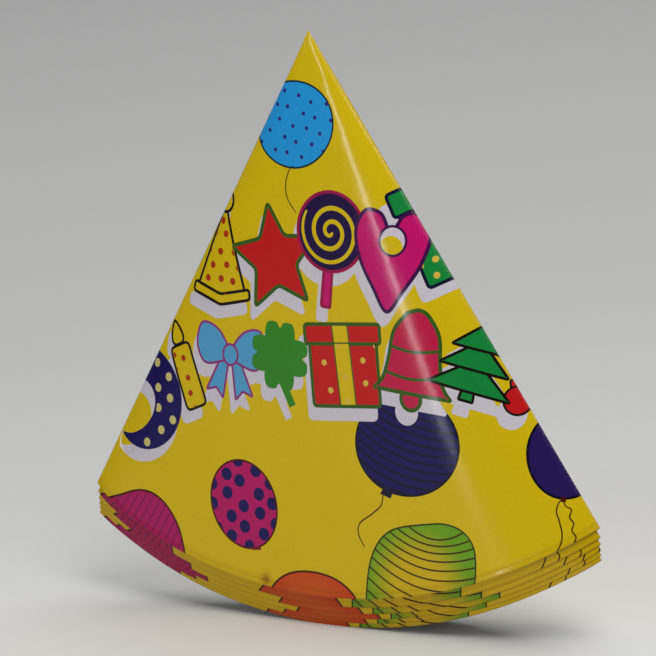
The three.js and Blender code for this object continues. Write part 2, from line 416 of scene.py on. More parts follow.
def rounded(shape, corner, steps=4):
    """A shape of straight sides with its corners rounded off."""
    shape = np.asarray(shape, float)
    result = []
    for i, point in enumerate(shape):
        before, after = shape[i - 1] - point, shape[(i + 1) % len(shape)] - point
        reach = min(corner, np.linalg.norm(before) / 2.1, np.linalg.norm(after) / 2.1)
        start = point + before / np.linalg.norm(before) * reach
        end = point + after / np.linalg.norm(after) * reach
        for step in range(steps + 1):
            u = step / steps
            result.append((1 - u) ** 2 * start + 2 * u * (1 - u) * point + u ** 2 * end)
    return np.array(result)


def box(width, height, corner=1.0):
    w, h = width / 2, height / 2
    return rounded([(-w, -h), (w, -h), (w, h), (-w, h)], corner)


def star(outer, inner, points=5, corner=1.6):
    angles = np.arange(2 * points) * math.pi / points - math.pi / 2
    radii = np.where(np.arange(2 * points) % 2 == 0, outer, inner)
    return rounded(np.column_stack([radii * np.cos(angles), radii * np.sin(angles)]), corner)


def inside(points, outline):
    """Which points lie inside a closed outline."""
    hit = np.zeros(len(points), bool)
    x, y = points[:, 0], points[:, 1]
    for (x0, y0), (x1, y1) in zip(outline, np.roll(outline, -1, axis=0)):
        if y0 != y1:
            hit ^= ((y0 > y) != (y1 > y)) & (x < x0 + (y - y0) * (x1 - x0) / (y1 - y0))
    return hit


# ---- the inks

def linear(colour):
    """The light that an ink on this card gives back, from its colour on a screen."""
    values = np.array([(colour >> shift & 255) / 255 for shift in (16, 8, 0)])
    light = np.where(values <= 0.04045, values / 12.92, ((values + 0.055) / 1.055) ** 2.4)
    return PRINT_LIGHTNESS * light


YELLOW = linear(0xF6D40E)
SHADOW_WHITE = linear(0xEDE6F2)
BLACK = linear(0x1A120C)
RED = linear(0xE01C20)
RED_DOT = linear(0xC43A10)
DARK_GREEN = linear(0x3F6A20)
GREEN = linear(0x3C9A2A)
LEAF = linear(0x189A44)
GOLD_DOT = linear(0xF4D24E)
PURPLE = linear(0x24104C)
MAGENTA = linear(0xE0167A)
PLUM = linear(0x4A1256)
NAVY = linear(0x1D1164)
CREAM = linear(0xEBDC8A)
SKY = linear(0x5FB6EA)
BLUE = linear(0x2AAEFC)
CRIMSON = linear(0xDC1E52)
VIOLET_DOT = linear(0x3A2A8C)
OUTLINE = linear(0x541208)
BROWN_OUTLINE = linear(0x5A2006)
STRING = linear(0x5A3206)
STRIPE_MAGENTA = linear(0x981062)
ORANGE_MIDDLE = linear(0xE8721C)
ORANGE_EDGE = linear(0xE64A12)
LIME = linear(0x7AB81A)
LIME_MIDDLE = linear(0xEFCB12)
STRIPE_BROWN = linear(0x4A2A08)
NIGHT = linear(0x0E0A22)
DEEP_BLUE = linear(0x12163C)
ROSE = linear(0xB01450)
LILAC = linear(0xA03C8C)
BLUE_OUTLINE = linear(0x12303A)
LIME_OUTLINE = linear(0x2C3C0A)
PALE_STRING = linear(0x5A4A08)
RIGHT_NAVY = linear(0x2E1C68)
NAVY_KNOT = linear(0x1C1038)
RED_KNOT = linear(0x8A0E2A)


class Print:
    """What is printed on the card, from the lowest ink to the top one."""

    def __init__(self):
        self.layers = []
        self.turn = 0.0

    def ink(self, outline, colour, within=None):
        outline = turned(np.asarray(outline, float), -self.turn)
        if within is not None:
            within = turned(within, -self.turn)
        self.layers.append((outline, colour, within, self.turn))

    def outlined(self, shape, fill, line, width):
        self.ink(grown(shape, width / 2), line)
        self.ink(grown(shape, -width / 2), fill)

    def dots(self, shape, colour, size, spacing, tilt):
        """A staggered pattern of dots, cut off at the shape's edge."""
        middle = (shape.min(0) + shape.max(0)) / 2
        reach = int(np.abs(shape - middle).max() / spacing) + 2
        for row in range(-reach, reach + 1):
            for column in range(-reach, reach + 1):
                place = np.array([[column + 0.5 * (row % 2), row * DOT_ROW]]) * spacing
                place = turned(place, tilt) + middle
                wobble = np.array([math.sin(5 * row + 3 * column), math.cos(4 * column - row)])
                wobble = DOT_WOBBLE * spacing * wobble
                dot = ellipse(size / 2, size / 2, 14) + place[0] + wobble
                if inside(dot, shape).any():
                    self.ink(dot, colour, shape)


# ---- the motifs
# A motif is a list of parts: (outline, fill). Its details are inks that lie on them.

def motif_hat():
    cone = rounded([(0, -16), (10.5, 13), (0, 15.5), (-10.5, 13)], 1.5)
    brim = rounded([(-12, 11.5), (0, 14.5), (12, 11.5), (12.5, 14.8), (0, 18), (-12.5, 14.8)], 1.2)
    return [cone, brim, ellipse(3.6, 3.6, 20) + [0, -16]]


def motif_star():
    return [star(18.2, 8.6)]


def motif_lollipop():
    stick = rounded([(-1.5, 8), (1.5, 8), (1.7, 24), (-1.7, 24)], 0.7)
    return [stick, ellipse(12.6, 12.6)]


def motif_heart():
    right = [(0, -8), (3.6, -13.2), (8.8, -13.6), (11.7, -7.4), (9.8, 1), (5, 9), (0, 15.5)]
    left = [(-x, y) for x, y in right[-2:0:-1]]
    return [curve(right + left, True)]


def motif_gift(width, height):
    lid = box(width + 3, height * 0.24, 1.2) + [0, -height * 0.38]
    body = box(width, height * 0.78, 1.4) + [0, height * 0.11]
    return [body, lid]


def motif_moon(outer):
    angle = np.linspace(0.30, 2 * math.pi - 0.30, 46)
    rim = np.column_stack([outer * np.cos(angle), outer * np.sin(angle)])
    bite = np.linspace(2 * math.pi - 0.62, 0.62, 32)
    hollow = np.column_stack([outer * 0.69 * np.cos(bite) + outer * 0.40, outer * 0.51 * np.sin(bite)])
    return [np.concatenate([rim, hollow])]


def motif_candle():
    stick = box(8.6, 21, 1.8) + [0, 3.5]
    flame = curve([(0, -15), (2.6, -10.5), (1.9, -7.6), (-1.9, -7.6), (-2.6, -10.5)], True, 5)
    return [flame, stick]


def motif_bow():
    loop = [(0, 0), (5, -7.5), (12, -9), (14, -2.5), (11, 3.5), (5, 3)]
    tail = [(0.5, 1), (4, 1.5), (9.5, 12.5), (5.4, 11.2), (2.6, 14.5)]
    parts = [rounded([(-x, y) for x, y in tail], 0.8), rounded(tail, 0.8)]
    parts += [curve([(-x, y) for x, y in loop], True), curve(loop, True)]
    return parts + [ellipse(3, 3.4, 24)]


def motif_clover():
    half = [(-5.6, -5), (-5.2, -10.4), (-1.6, -11)]
    leaf = curve([(0, 0), *half, (0, -9.2), *[(-x, y) for x, y in half[::-1]]], True, 5)
    leaves = [turned(leaf, 90 * quarter + 8) for quarter in range(4)]
    stem = stroke(curve([(0, 2), (0.6, 9), (3.4, 16.5)], False), 2.8, 1.0)
    return [stem] + leaves


def motif_bell():
    right = [(0, -15), (3.2, -13.8), (7.4, -8), (8.6, 0), (10.2, 6.5), (13, 10)]
    left = [(-x, y) for x, y in right[:0:-1]]
    body = rounded(np.concatenate([curve(right, False), curve(left, False)]), 0.5, 1)
    return [ellipse(3.4, 3.4, 24) + [0, 11.5], body]


def motif_tree():
    tiers = []
    for top, width, height in ((0, 9, 8.5), (5.5, 11.5, 9.5), (11.5, 14, 10.5)):
        tier = rounded([(0, top - 12), (width, top + height - 12), (-width, top + height - 12)], 0.9)
        tiers.insert(0, tier)
    trunk = rounded([(-2, 9), (2, 9), (2.4, 13), (-2.4, 13)], 0.4)
    return [trunk] + tiers


def motif_ball(radius):
    return [box(3.2, 3.2, 0.6) + [0, -radius - 0.6], ellipse(radius, radius, 32)]


class Motif:
    """One printed motif, put down with an outline and, before it, a pale shadow."""

    def __init__(self, parts, x, y, turn, size, fills, line, width, details=None):
        self.parts = [placed(part, x, y, turn, size) for part in parts]
        self.fills = fills if isinstance(fills, list) else [fills] * len(parts)
        self.line = line
        self.width = width
        self.details = details

    def shadow(self, sheet):
        for part in self.parts:
            sheet.ink(grown(part, self.width / 2) + SHADOW_SHIFT, SHADOW_WHITE)

    def draw(self, sheet):
        for part, fill in zip(self.parts, self.fills):
            if self.line is None:
                sheet.ink(part, fill)
            else:
                sheet.outlined(part, fill, self.line, self.width)
        if self.details:
            self.details(sheet, self.parts)


def spots(colour, size, spacing, tilt, part=0):
    def details(sheet, parts):
        sheet.dots(grown(parts[part], -0.6), colour, size, spacing, tilt)
    return details


def swirl(sheet, parts):
    disc = parts[1]
    middle = (disc.min(0) + disc.max(0)) / 2
    turn = np.linspace(0.5, 5.2 * math.pi, 90)
    arm = np.column_stack([np.cos(turn), np.sin(turn)]) * (0.68 * turn)[:, None] + middle
    sheet.ink(stroke(arm, 1.5, 0.5), YELLOW, grown(disc, -1.2))


def ribbon(sheet, parts):
    body, lid = parts
    middle = (body.min(0) + body.max(0)) / 2
    band = placed(box(5.4, 60, 0.1), middle[0], middle[1], -6)
    for part in (body, lid):
        sheet.ink(grown(band, 0.5), DARK_GREEN, grown(part, -0.5))
        sheet.ink(band, YELLOW, grown(part, -0.5))
    sheet.dots(grown(body, -0.6), GOLD_DOT, 2.0, 8.2, 20)


def glint(sheet, parts):
    """A round hole through the heart, with the shadow and the yellow sheet showing in it."""
    heart = parts[0]
    place = (heart.min(0) + heart.max(0)) / 2 + [0.6, -6.2]
    hole = ellipse(4.0, 4.2, 32) + place
    sheet.ink(grown(hole, 0.8), PLUM)
    sheet.ink(hole, SHADOW_WHITE)
    sheet.ink(hole + [-0.6, 2.6], YELLOW, hole)


def bell_bands(sheet, parts):
    body = parts[1]
    middle = (body.min(0) + body.max(0)) / 2
    for drop in (-2.2, 6.4):
        band = stroke(curve([(-14, drop - 1.0), (0, drop + 1.4), (14, drop - 1.0)], False), 1.0, 1.0)
        sheet.ink(placed(band, middle[0], middle[1], 6), DARK_GREEN, grown(body, -0.5))


def front_motifs():
    """The two rows of motifs, from left to right and in the order that they are printed."""
    upper = [
        Motif(motif_gift(16, 32), 42, 61.6, -25, 1.0, LEAF, DEEP_BLUE, 1.1, spots(GOLD_DOT, 2.1, 5.4, 30)),
        Motif(motif_hat(), -36.8, 71.0, 4, 0.98, YELLOW, BLACK, 1.0, spots(RED_DOT, 2.3, 5.6, 62)),
        Motif(motif_star(), -15.0, 72.5, -8, 0.98, RED, DARK_GREEN, 1.3),
        Motif(motif_lollipop(), 7.0, 63.0, 7, 1.0, [MAGENTA, PURPLE], ROSE, 1.1, swirl),
        Motif(motif_heart(), 28.2, 70.8, 4, 1.06, MAGENTA, PLUM, 1.2, glint),
    ]
    lower = [
        Motif(motif_moon(16.5), -72.5, 121.5, 150, 1.0, NAVY, NAVY, 0.6, spots(CREAM, 2.9, 7.4, 25)),
        Motif(motif_candle(), -54.0, 109.5, -21, 1.0, YELLOW, BLACK, 0.9, spots(RED_DOT, 2.0, 5.4, 15, 1)),
        Motif(motif_bow(), -34.5, 104.5, 4, 1.0, SKY, LILAC, 0.8),
        Motif(motif_clover(), -14.5, 103.5, -4, 0.98, GREEN, None, 0.0),
        Motif(motif_ball(4.4), 70.3, 113.4, -10, 1.0, RED, BLACK, 0.7),
        Motif(motif_gift(25.5, 26), 10.5, 105.0, -3, 1.0, RED, DARK_GREEN, 1.2, ribbon),
        Motif(motif_bell(), 36.5, 102.0, 6, 1.06, CRIMSON, DARK_GREEN, 1.3, bell_bands),
        Motif(motif_tree(), 57.0, 101.5, 14, 0.98, LEAF, BLACK, 0.9),
    ]
    return upper, lower


# ---- the balloons

def egg(rx, ry, narrow=0.05, square=1.0, steps=60):
    angle = np.linspace(0, 2 * math.pi, steps, endpoint=False)
    c, s = np.cos(angle), np.sin(angle)
    reach = (np.abs(c) ** (2 * square) + np.abs(s) ** (2 * square)) ** (-0.5 / square)
    return np.column_stack([rx * c * reach * (1 - narrow * s), ry * s * reach])


def balloon(sheet, shape, fill, line, width):
    """Draws a balloon and gives back the shape of its skin, which limits what is drawn on it."""
    sheet.outlined(shape, fill, line, width)
    return grown(shape, -width / 2)


def balloon_string(sheet, points, colour, width=0.5):
    sheet.ink(stroke(curve(points, False, 6), width, 0.7), colour)


def stripes(sheet, skin, colour, middle, tilt, count, spacing, half, sag, sag_step, width):
    """Curved stripes across a balloon, each sagging a little more than the one above it."""
    across = np.linspace(-1, 1, 15)
    for i in range(count):
        drop = (i - (count - 1) / 2) * spacing
        depth = sag + sag_step * i
        line = np.column_stack([half * across, drop + depth * (1 - across ** 2)])
        sheet.ink(placed(stroke(line, width, 0.75), middle[0], middle[1], tilt), colour, skin)


def orange_fill(place):
    """Red-orange at the rim of the balloon, paler towards its middle."""
    from_middle = (place - ORANGE_CENTRE) / ORANGE_REACH
    reach = np.clip(np.hypot(from_middle[:, 0], from_middle[:, 1]), 0, 1)
    return ORANGE_MIDDLE + (ORANGE_EDGE - ORANGE_MIDDLE) * smooth(reach)[:, None]


def lime_fill(place):
    """Green at the balloon's sides and top, yellow in its middle."""
    from_middle = (place - LIME_CENTRE) / LIME_REACH
    reach = np.hypot(from_middle[:, 0], from_middle[:, 1])
    return LIME_MIDDLE + (LIME - LIME_MIDDLE) * smooth((reach - LIME_MIDDLE_END) / LIME_RAMP)[:, None]


def blue_balloon(sheet):
    skin = balloon(sheet, placed(egg(15.4, 13.6), -6.4, 29.8, -8), BLUE, BLUE_OUTLINE, 0.6)
    sheet.dots(skin, VIOLET_DOT, 1.35, 5.4, 14)
    balloon_string(sheet, [(-8, 43.4), (-9.8, 48), (-9.4, 53), (-6.2, 57.6)], PALE_STRING, 0.45)


def small_blue_balloon(sheet):
    """The blue balloon again, small enough for the narrow top of the back panel."""
    skin = balloon(sheet, placed(egg(8.6, 9.4), 0.5, 34, 5), BLUE, BLUE_OUTLINE, 0.6)
    sheet.dots(skin, VIOLET_DOT, 1.35, 4.6, 14)
    balloon_string(sheet, [(0, 43.4), (-1.6, 46), (-0.6, 49)], PALE_STRING, 0.45)


def navy_balloon(sheet):
    skin = balloon(sheet, placed(egg(19, 16.4, -0.03), 33, 128.4, -6), NAVY, NIGHT, 0.7)
    stripes(sheet, skin, NIGHT, (33, 123), 17, 14, 2.7, 23, 5.0, 0.1, 0.6)
    sheet.ink([(24.2, 142.9), (27.6, 143.9), (26.6, 146.2), (22.6, 144.9)], NAVY_KNOT)
    string = [(23.8, 145), (22.9, 148.6), (19.4, 151.6), (14.6, 155), (13.9, 158.6), (16.2, 162.6)]
    balloon_string(sheet, string, STRING)


def right_balloon(sheet):
    balloon(sheet, placed(egg(11.9, 13.6, 0.02), 85.8, 129.3, 0), RIGHT_NAVY, NIGHT, 0.8)
    sheet.ink([(84.9, 142.4), (86.1, 142.4), (86.5, 144), (84.5, 144)], OUTLINE)
    plain = [(84.6, 143.6), (83.9, 145), (83.6, 147.2), (84.6, 150), (85.6, 153.8), (85.3, 156.6),
             (84.2, 159.2), (83.2, 161.5)]
    wavy = [(85.6, 143.8), (86.4, 145.2), (88.1, 146.3), (87.7, 148.6), (89, 150.4), (88.6, 152.6),
            (89.9, 154.6), (89.3, 156.6), (88.4, 159)]
    balloon_string(sheet, plain, STRING)
    balloon_string(sheet, wavy, STRING)


def dotted_balloon(sheet):
    shape = placed(egg(13.0, 14.5, 0.02), -31, 152.7, -25)
    skin = balloon(sheet, shape, MAGENTA * 0.85, OUTLINE, 0.65)
    sheet.dots(skin, NAVY, 4.3, 7.0, 24)
    sheet.ink(rounded([(-28.4, 166.2), (-24.9, 165.9), (-24.6, 167), (-28.4, 167.4)], 0.3), RED_KNOT)


def corner_balloon(sheet):
    outline = curve([(-98, 158), (-91, 156.3), (-84, 154.4), (-78, 152.5), (-73, 151.9), (-68, 152.9),
                     (-63, 156.2), (-59, 161.5), (-57, 167), (-56.3, 173), (-58, 182), (-70, 192),
                     (-88, 192), (-98, 182)], True, 5)
    skin = balloon(sheet, outline, MAGENTA * 0.78, OUTLINE, 0.7)
    stripes(sheet, skin, STRIPE_MAGENTA, (-76, 168), -50, 15, 2.9, 26, 2.8, 0.0, 0.55)


def orange_balloon(sheet):
    shape = placed(egg(19.4, 18.2, 0.05, 1.12), -4.6, 190.6, 3)
    balloon(sheet, shape, orange_fill, BROWN_OUTLINE, 0.7)


def lime_balloon(sheet):
    outline = curve([(15.2, 186), (15.9, 180.5), (16.5, 175), (17.4, 169.5), (19.4, 163.8), (22.4, 159.4),
                     (26.3, 156.4), (30.8, 154.9), (35.6, 154), (40.4, 153.3), (45.2, 152.8), (50, 153.5),
                     (54, 155.7), (56.5, 159.4), (57.1, 164), (56.8, 169), (56, 174.5), (54.6, 180),
                     (51, 187), (36, 194), (20, 191)], True, 4)
    skin = balloon(sheet, outline, lime_fill, LIME_OUTLINE, 0.55)
    across = np.linspace(13, 60, 24)
    for step in range(LIME_STRIPES):
        low = 158 + 1.9 * step + 0.14 * step ** 2
        left_rise = 0.0135 + 0.022 / (1 + step) ** 1.3
        right_rise = 0.006 + 0.024 / (1 + step)
        from_low = across - LIME_LOW
        line = low - np.where(from_low < 0, left_rise, right_rise) * from_low ** 2
        sheet.ink(stroke(np.column_stack([across, line]), 0.55, 0.9), STRIPE_BROWN, skin)


def print_sheet():
    """The whole print: once on the front panel, and on the back again where it clears the folds."""
    sheet = Print()
    upper, lower = front_motifs()
    for turn in (SEAM_MISMATCH - PANEL_ARC, PANEL_ARC, 0.0):
        sheet.turn = turn
        whole = turn == 0.0
        if whole:
            blue_balloon(sheet)
            corner_balloon(sheet)
            right_balloon(sheet)
        else:
            small_blue_balloon(sheet)
        navy_balloon(sheet)
        dotted_balloon(sheet)
        orange_balloon(sheet)
        lime_balloon(sheet)
        for row in (upper, lower):
            chosen = [motif for motif in row if whole or is_central(motif)]
            for motif in chosen:
                motif.shadow(sheet)
            for motif in chosen:
                motif.draw(sheet)
    return sheet.layers


def is_central(motif):
    """Whether a motif lies well between the folds of its panel."""
    return all(np.abs(from_tip(part)[0]).max() <= HALF_ARC - FOLD_CLEARANCE for part in motif.parts)


# ---- the sheet's outline

def arc(start, end, radius):
    steps = max(2, int(abs(end - start) / ARC_STEP))
    return polar(np.linspace(start, end, steps + 1), radius)


def sheet_ends(hat):
    """Directions of the sheet's two straight edges, the upper one of the overlap first."""
    over_end = -HALF_ARC - PANEL_ARC * (hat["seam"] + SEAM_WIDTH / 2)
    return over_end, HALF_ARC + PANEL_ARC * (1 - hat["seam"] + SEAM_WIDTH / 2)


def sheet_outline(hat):
    over_end, under_end = sheet_ends(hat)
    steps = np.linspace(TIP_HOLE, SLANT, 46)[1:-1]
    down = np.concatenate([polar(under_end, r) for r in steps])
    up = np.concatenate([polar(over_end, r) for r in steps[::-1]])
    tip = polar(np.linspace(over_end, under_end, 25), TIP_HOLE)
    return np.concatenate([tip, down, arc(under_end, over_end, SLANT), up])


def tab_outline(side, slit, lip=0):
    """A tongue's outline, or with a slit's width that of the opening it hangs in.

    The opening's lip is crushed towards the fold, where it shows the card's pale core.
    """
    angle = np.linspace(0, math.pi, 25)
    reach = TAB_RADIUS + slit + lip * np.maximum(np.cos(angle - math.pi / 4), 0) ** 2
    sideways = TAB_FROM_FOLD - reach * np.cos(angle)
    below = TAB_HINGE + TAB_SIDE + reach * np.sin(angle)
    fold = -HALF_ARC if side == FRONT else HALF_ARC
    theta = fold + np.degrees(sideways / TAB_HINGE)
    curved = polar(theta, below)
    hinge = polar(np.linspace(theta[-1], theta[0], 13), TAB_HINGE)
    return np.concatenate([curved, hinge])


def guide_lines(hat):
    """Lines beside the folds, above the rim and round the dent, so that the mesh bends with them."""
    lines = []
    for fold in (-HALF_ARC, HALF_ARC):
        direction = polar(fold, 1.0)[0]
        across = np.array([direction[1], -direction[0]])
        for offset in FOLD_GUIDES:
            for sign in ((1,) if offset == 0 else (-1, 1)):
                first = max(3.0, 8 * offset)
                radii = np.linspace(first, SLANT + 1, 40)
                lines.append(direction * radii[:, None] + across * offset * sign)
    over_end, under_end = sheet_ends(hat)
    for above in RIM_GUIDES:
        lines.append(arc(over_end + 0.05, under_end - 0.05, SLANT - above))
    if hat["index"] == 0:
        for ring in DENT_GUIDES:
            lines.append(ellipse(ring, ring, 20) + DENT_PLACE)
    return lines


def grid_points(outline):
    low, high = outline.min(0), outline.max(0)
    rows = np.arange(low[1], high[1], GRID * 0.87)
    points = []
    for i, y in enumerate(rows):
        xs = np.arange(low[0] + (i % 2) * GRID / 2, high[0], GRID)
        points.append(np.column_stack([xs, np.full(len(xs), y)]))
    points = np.concatenate(points)
    return points[inside(points, outline)]


# ---- triangles

def sheet_triangles(borders, shapes, lines, loose):
    """The sheet inside its borders, in triangles that follow every shape and line on it."""
    points, edges = [], []
    for closed, paths in ((True, [*borders, *shapes]), (False, lines)):
        for path in paths:
            first = len(points)
            count = len(path)
            points += [Vector(point) for point in path]
            edges += [(first + i, first + (i + 1) % count) for i in range(count if closed else count - 1)]
    points += [Vector(point) for point in loose]
    found = delaunay_2d_cdt(points, edges, [], 0, TINY)
    flat = np.array([point[:] for point in found[0]])
    border_count = sum(len(border) for border in borders)
    fences = {tuple(sorted(edge)) for edge, sources in zip(found[1], found[4])
              if min(sources, default=border_count) < border_count}
    triangles = np.array(found[2])
    kept = enclosed(flat, triangles, fences, borders)
    used, kept = np.unique(triangles[kept], return_inverse=True)
    return flat[used], kept.reshape(-1, 3)


def enclosed(flat, triangles, fences, borders):
    """The triangles reached from the middle of the sheet without crossing a fence."""
    neighbours = {}
    sides = [[tuple(sorted(side)) for side in ((a, b), (b, c), (c, a))] for a, b, c in triangles.tolist()]
    for number, three in enumerate(sides):
        for side in three:
            neighbours.setdefault(side, []).append(number)
    a, b, c = (flat[triangles[:, corner]] for corner in range(3))
    middles = (a + b + c) / 3
    area = np.abs((b - a)[:, 0] * (c - a)[:, 1] - (b - a)[:, 1] * (c - a)[:, 0])
    area[~inside(middles, borders[0])] = 0
    for hole in borders[1:]:
        area[inside(middles, hole)] = 0
    waiting = [int(np.argmax(area))]
    reached = set(waiting)
    while waiting:
        for side in sides[waiting.pop()]:
            if side not in fences:
                fresh = [number for number in neighbours[side] if number not in reached]
                reached.update(fresh)
                waiting += fresh
    return sorted(reached)


def border_loops(triangles):
    """The sheet's border as closed rows of point numbers, with the sheet on their left."""
    edges = np.concatenate([triangles[:, [0, 1]], triangles[:, [1, 2]], triangles[:, [2, 0]]]).tolist()
    known = {(first, second) for first, second in edges}
    following = {first: second for first, second in edges if (second, first) not in known}
    loops = []
    while following:
        first, place = following.popitem()
        loop = [first]
        while place != first:
            loop.append(place)
            place = following.pop(place)
        loops.append(loop)
    return loops


def border_rows(flat, triangles, outline):
    """The border's points along each side of an outline."""
    loops = border_loops(triangles)
    distances = [np.abs(flat[loop] - outline[0]).sum(axis=1).min() for loop in loops]
    loop = loops[int(np.argmin(distances))]
    if signed_area(flat[loop]) * signed_area(outline) < 0:
        outline = outline[::-1]
    corners = [int(np.argmin(np.sum((flat[loop] - point) ** 2, axis=1))) for point in outline]
    rows = []
    for start, end in zip(corners, corners[1:] + corners[:1]):
        rows.append(loop[start:end + 1] if end >= start else loop[start:] + loop[:end + 1])
    return rows


def painted(hat, flat, triangles, layers):
    """The ink at every corner of every triangle. The print is turned to where this sheet has it."""
    places = turned(flat, hat["print_turn"])
    corners = places[triangles]
    middles = corners.mean(axis=1)
    colours = np.tile(YELLOW, (len(triangles), 3, 1))
    for outline, ink, limit, set_turn in layers:
        low, high = outline.min(0), outline.max(0)
        near = np.where(np.all((middles > low) & (middles < high), axis=1))[0]
        near = near[inside(middles[near], outline)]
        if limit is not None:
            near = near[inside(middles[near], limit)]
        if callable(ink):
            own = turned(corners[near].reshape(-1, 2), set_turn)
            colours[near] = ink(own).reshape(-1, 3, 3)
        else:
            colours[near] = ink
    # Painted shade darkens and warms the ink in the dent, along the groove, at the rim and on the inner
    # hats' strips
    shade_factor = (1 - painted_shade(hat, flat))[:, None] ** PAINTED_SHADE_TINT
    return colours * shade_factor[triangles]


def painted_shade(hat, flat):
    """How much painted shade darkens the ink: in the dent, along the groove and at the rim.

    The strips of the inner hats that stand out of the nest get more painted shade.
    """
    _, radius = from_tip(flat)
    # Painted shade in the dent and along the groove above the rim
    shade = DENT_SHADE * near_dent(hat, flat) + GROOVE_SHADE * in_groove(radius)
    # Painted shade along the rim's edge
    shade += RIM_SHADE * np.exp((radius - SLANT) / RIM_SHADE_FADE)
    # Painted shade on the inner hats' strips that stand out of the nest
    if hat["index"] > 0:
        shade += STRIP_SHADE * smooth((radius - STRIP_FROM) / STRIP_RAMP)
    return shade


def card_piece(name, hat, borders, back_borders, layers, pushed):
    """One closed body of card: printed face, bare inner face and cut edges."""
    outline = borders[0]
    turn = hat["print_turn"]
    shapes = [turned(shape, -turn) for drawn, _, limit, _ in layers for shape in (drawn, limit)
              if shape is not None]
    low, high = outline.min(0) - 1, outline.max(0) + 1
    shapes = [shape for shape in shapes if np.all(shape.max(0) > low) and np.all(shape.min(0) < high)]
    guides = [line for line in guide_lines(hat) if inside(line, outline).any()]
    flat, triangles = sheet_triangles(borders, shapes, guides, grid_points(outline))
    back_flat, back_triangles = sheet_triangles(back_borders, [], guides, grid_points(outline))
    count = len(flat)
    walls = []
    for border, back_border in zip(borders, back_borders):
        rows = border_rows(flat, triangles, border)
        back_rows = border_rows(back_flat, back_triangles, back_border)
        for row, back_row in zip(rows, back_rows):
            wall = row[::-1] + [count + number for number in back_row]
            walls += [wall] if len(wall) > 2 else []

    points = np.concatenate([bent(hat, flat, 0.0, pushed), bent(hat, back_flat, CARD, pushed)])
    normals = face_normal(hat, *from_tip(flat))
    back_normals = -face_normal(hat, *from_tip(back_flat))
    back_triangles = back_triangles[:, ::-1] + count
    a, b, c = (points[triangles[:, corner]] for corner in range(3))
    if np.median(np.sum(np.cross(b - a, c - a) * normals[triangles[:, 0]], axis=1)) < 0:
        triangles = triangles[:, ::-1]
        back_triangles = back_triangles[:, ::-1]
        walls = [wall[::-1] for wall in walls]
    mesh = bpy.data.meshes.new(name)
    mesh.from_pydata(points.tolist(), [], triangles.tolist() + back_triangles.tolist() + walls)

    counts = (len(triangles), len(back_triangles), len(walls))
    mesh.polygons.foreach_set("material_index", np.repeat(np.arange(3), counts).astype(np.int32))
    mesh.polygons.foreach_set("use_smooth", np.ones(sum(counts), bool))
    colours = painted(hat, flat, triangles, layers).reshape(-1, 3)
    plain = np.tile(SHADOW_WHITE, (len(mesh.loops) - len(colours), 1))
    colours = np.concatenate([colours, plain])
    colours = np.column_stack([colours, np.ones(len(colours))])
    ink = mesh.attributes.new("ink", "FLOAT_COLOR", "CORNER")
    ink.data.foreach_set("color", colours.astype(np.float32).ravel())
    places = np.concatenate([flat, back_flat])
    wear = mesh.attributes.new("wear", "FLOAT", "POINT")
    wear.data.foreach_set("value", edge_wear(places).astype(np.float32))
    card_place = mesh.attributes.new("card_place", "FLOAT_VECTOR", "POINT")
    places = np.column_stack([places, np.full(len(places), SHEET_STEP * hat["index"])])
    card_place.data.foreach_set("vector", places.astype(np.float32).ravel())

    corner_normals = [normals[triangles].reshape(-1, 3)]
    corner_normals.append(back_normals[back_triangles - count].reshape(-1, 3))
    for wall in walls:
        corners = points[wall]
        before = corners - np.roll(corners, 1, axis=0)
        after = np.roll(corners, -1, axis=0) - corners
        normal = np.cross(before, after).sum(axis=0)
        corner_normals.append(np.tile(normal / max(np.linalg.norm(normal), TINY ** 6), (len(wall), 1)))
    mesh.normals_split_custom_set(np.concatenate(corner_normals).tolist())

    piece = bpy.data.objects.new(name, mesh)
    bpy.context.scene.collection.objects.link(piece)
    for material in (PRINTED, BARE, CUT):
        mesh.materials.append(material)
    return piece


def edge_wear(flat):
    """How rubbed the card is: 1 on a fold and less at the rim, fading within a millimetre."""
    theta, radius = from_tip(flat)
    from_fold = np.radians(np.abs(np.abs(theta) - HALF_ARC)) * radius
    from_rim = np.abs(SLANT - radius)
    return np.maximum(np.exp(-from_fold / FOLD_WEAR_FADE), RIM_WEAR * np.exp(-from_rim / RIM_WEAR_FADE))


# ---- materials

def new_material(name):
    material = bpy.data.materials.new(name)
    material.use_nodes = True
    nodes = material.node_tree.nodes
    nodes.clear()
    output = nodes.new("ShaderNodeOutputMaterial")
    shader = nodes.new("ShaderNodeBsdfPrincipled")
    material.node_tree.links.new(shader.outputs["BSDF"], output.inputs["Surface"])
    return material, shader


def attribute(material, name, output):
    node = material.node_tree.nodes.new("ShaderNodeAttribute")
    node.attribute_name = name
    return node.outputs[output]


def set_input(material, socket, value):
    """A number or a colour is set on the socket itself, and another node's output is linked to it."""
    if isinstance(value, (int, float, tuple)):
        socket.default_value = value
    else:
        material.node_tree.links.new(value, socket)


def new_node(material, kind, inputs):
    node = material.node_tree.nodes.new(kind)
    for socket, value in inputs.items():
        set_input(material, node.inputs[socket], value)
    return node


def noise_node(material, place, scale, detail, roughness=0.5):
    inputs = {"Vector": place, "Scale": scale, "Detail": detail, "Roughness": roughness}
    return new_node(material, "ShaderNodeTexNoise", inputs).outputs["Fac"]


def ranged(material, value, source, target):
    """The value, with its range stretched from the source range to the target range."""
    ends = dict(zip(("From Min", "From Max", "To Min", "To Max"), (*source, *target)))
    return new_node(material, "ShaderNodeMapRange", {"Value": value, **ends}).outputs["Result"]


def calculated(material, operation, first, second):
    node = new_node(material, "ShaderNodeMath", {0: first, 1: second})
    node.operation = operation
    return node.outputs["Value"]


def mixed(material, blend, factor, first, second):
    node = new_node(material, "ShaderNodeMix", {0: factor, 6: first, 7: second})
    node.data_type = "RGBA"
    node.blend_type = blend
    return node.outputs[2]


def bumped(material, shader, height, distance, strength):
    inputs = {"Height": height, "Distance": distance, "Strength": strength}
    node = new_node(material, "ShaderNodeBump", inputs)
    material.node_tree.links.new(node.outputs["Normal"], shader.inputs["Normal"])


